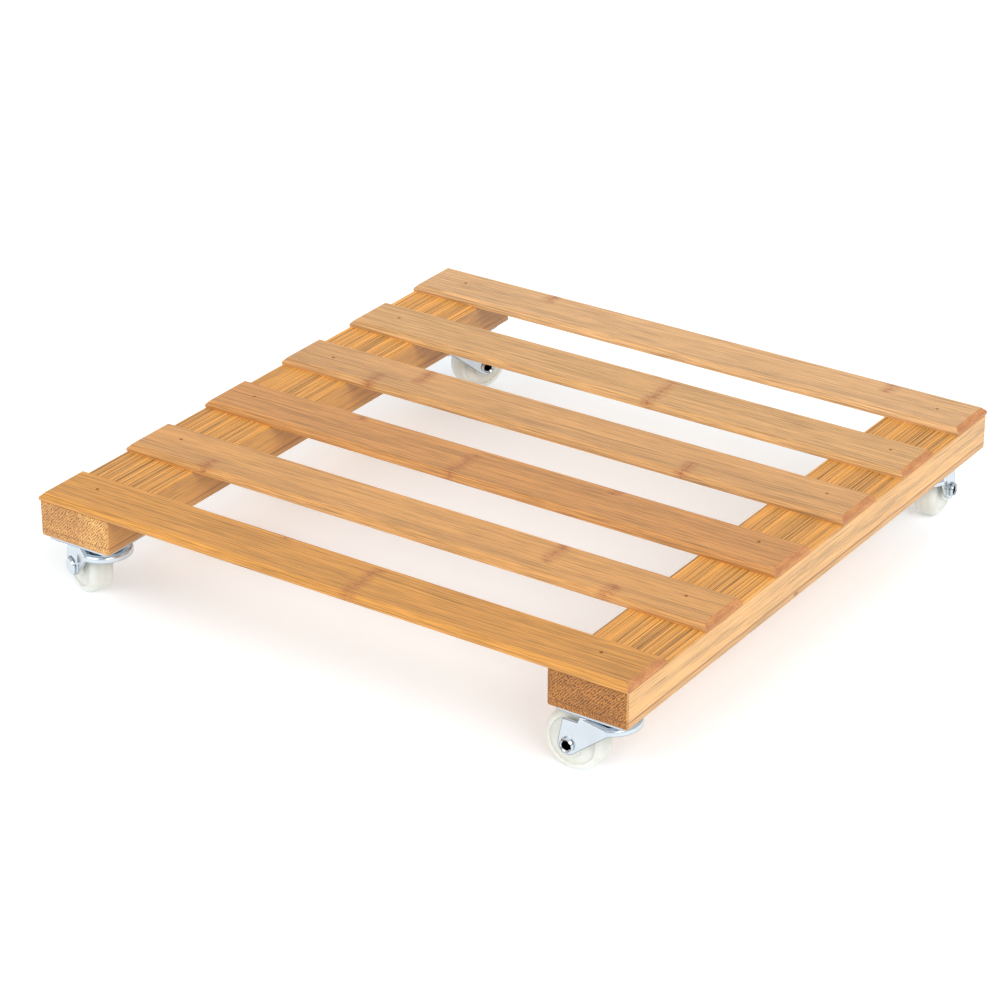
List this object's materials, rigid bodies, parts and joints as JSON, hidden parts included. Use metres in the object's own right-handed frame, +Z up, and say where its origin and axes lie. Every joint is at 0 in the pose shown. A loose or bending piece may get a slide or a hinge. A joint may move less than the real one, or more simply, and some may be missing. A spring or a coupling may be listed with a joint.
{
  "type": "plant pot caddy",
  "caption": "Low square slatted bamboo platform on two rails, rolling on swivel plate casters with plastic wheels, for moving a potted plant.",
  "frame": {"origin": "on the floor under the middle of the slatted deck", "axes": "+X along the slats to the right, +Y from the first slat to the last, +Z up, normal to the deck's top"},
  "size_m": [0.3604, 0.3667, 0.065],
  "materials": {
    "bamboo_slat": "clear lacquered bamboo, satin",
    "bamboo_rail": "clear lacquered laminated bamboo, satin",
    "nail_steel": "dull steel brads",
    "zinc_plate": "bright zinc plated",
    "zinc_fork": "bright zinc plated",
    "zinc_rivet": "bright plated rivet",
    "screw_steel": "zinc plated wood screws",
    "ball_steel": "greased steel balls",
    "wheel_plastic": "milky translucent polypropylene"
  },
  "bodies": {
    "root": {"slat_1": "bamboo_slat", "slat_2": "bamboo_slat", "slat_3": "bamboo_slat", "slat_4": "bamboo_slat", "slat_5": "bamboo_slat", "slat_6": "bamboo_slat", "rail_left": "bamboo_rail", "rail_right": "bamboo_rail", "brad_nails_left": "nail_steel", "brad_nails_right": "nail_steel", "plate_front_left": "zinc_plate", "plate_screws_front_left": "screw_steel", "kingpin_front_left": "zinc_plate", "thrust_washer_front_left": "zinc_plate", "plate_front_right": "zinc_plate", "plate_screws_front_right": "screw_steel", "kingpin_front_right": "zinc_plate", "thrust_washer_front_right": "zinc_plate", "plate_rear_left": "zinc_plate", "plate_screws_rear_left": "screw_steel", "kingpin_rear_left": "zinc_plate", "thrust_washer_rear_left": "zinc_plate", "plate_rear_right": "zinc_plate", "plate_screws_rear_right": "screw_steel", "kingpin_rear_right": "zinc_plate", "thrust_washer_rear_right": "zinc_plate"},
    "caster_fork_front_left": {"fork_front_left": "zinc_fork", "axle_front_left": "zinc_rivet", "ball_race_front_left": "ball_steel"},
    "caster_wheel_front_left": {"wheel_front_left": "wheel_plastic"},
    "caster_fork_front_right": {"fork_front_right": "zinc_fork", "axle_front_right": "zinc_rivet", "ball_race_front_right": "ball_steel"},
    "caster_wheel_front_right": {"wheel_front_right": "wheel_plastic"},
    "caster_fork_rear_left": {"fork_rear_left": "zinc_fork", "axle_rear_left": "zinc_rivet", "ball_race_rear_left": "ball_steel"},
    "caster_wheel_rear_left": {"wheel_rear_left": "wheel_plastic"},
    "caster_fork_rear_right": {"fork_rear_right": "zinc_fork", "axle_rear_right": "zinc_rivet", "ball_race_rear_right": "ball_steel"},
    "caster_wheel_rear_right": {"wheel_rear_right": "wheel_plastic"}
  },
  "joints": [
    {"name": "swivel_front_left", "type": "hinge", "parent": "root", "child": "caster_fork_front_left", "pos_m": [-0.153, -0.158, 0.033], "axis": [0, 0, 1], "continuous": true},
    {"name": "spin_front_left", "type": "hinge", "parent": "caster_fork_front_left", "child": "caster_wheel_front_left", "pos_m": [-0.16905, -0.15102, 0.016], "axis": [-0.3987, -0.9171, 0], "continuous": true},
    {"name": "swivel_front_right", "type": "hinge", "parent": "root", "child": "caster_fork_front_right", "pos_m": [0.153, -0.158, 0.033], "axis": [0, 0, 1], "continuous": true},
    {"name": "spin_front_right", "type": "hinge", "parent": "caster_fork_front_right", "child": "caster_wheel_front_right", "pos_m": [0.1355, -0.15831, 0.016], "axis": [0.0175, -0.9998, 0], "continuous": true},
    {"name": "swivel_rear_left", "type": "hinge", "parent": "root", "child": "caster_fork_rear_left", "pos_m": [-0.153, 0.153, 0.033], "axis": [0, 0, 1], "continuous": true},
    {"name": "spin_rear_left", "type": "hinge", "parent": "caster_fork_rear_left", "child": "caster_wheel_rear_left", "pos_m": [-0.1456, 0.16886, 0.016], "axis": [-0.9063, 0.4226, 0], "continuous": true},
    {"name": "swivel_rear_right", "type": "hinge", "parent": "root", "child": "caster_fork_rear_right", "pos_m": [0.153, 0.153, 0.033], "axis": [0, 0, 1], "continuous": true},
    {"name": "spin_rear_right", "type": "hinge", "parent": "caster_fork_rear_right", "child": "caster_wheel_rear_right", "pos_m": [0.15102, 0.17039, 0.016], "axis": [-0.9936, -0.1132, 0], "continuous": true}
  ]
}
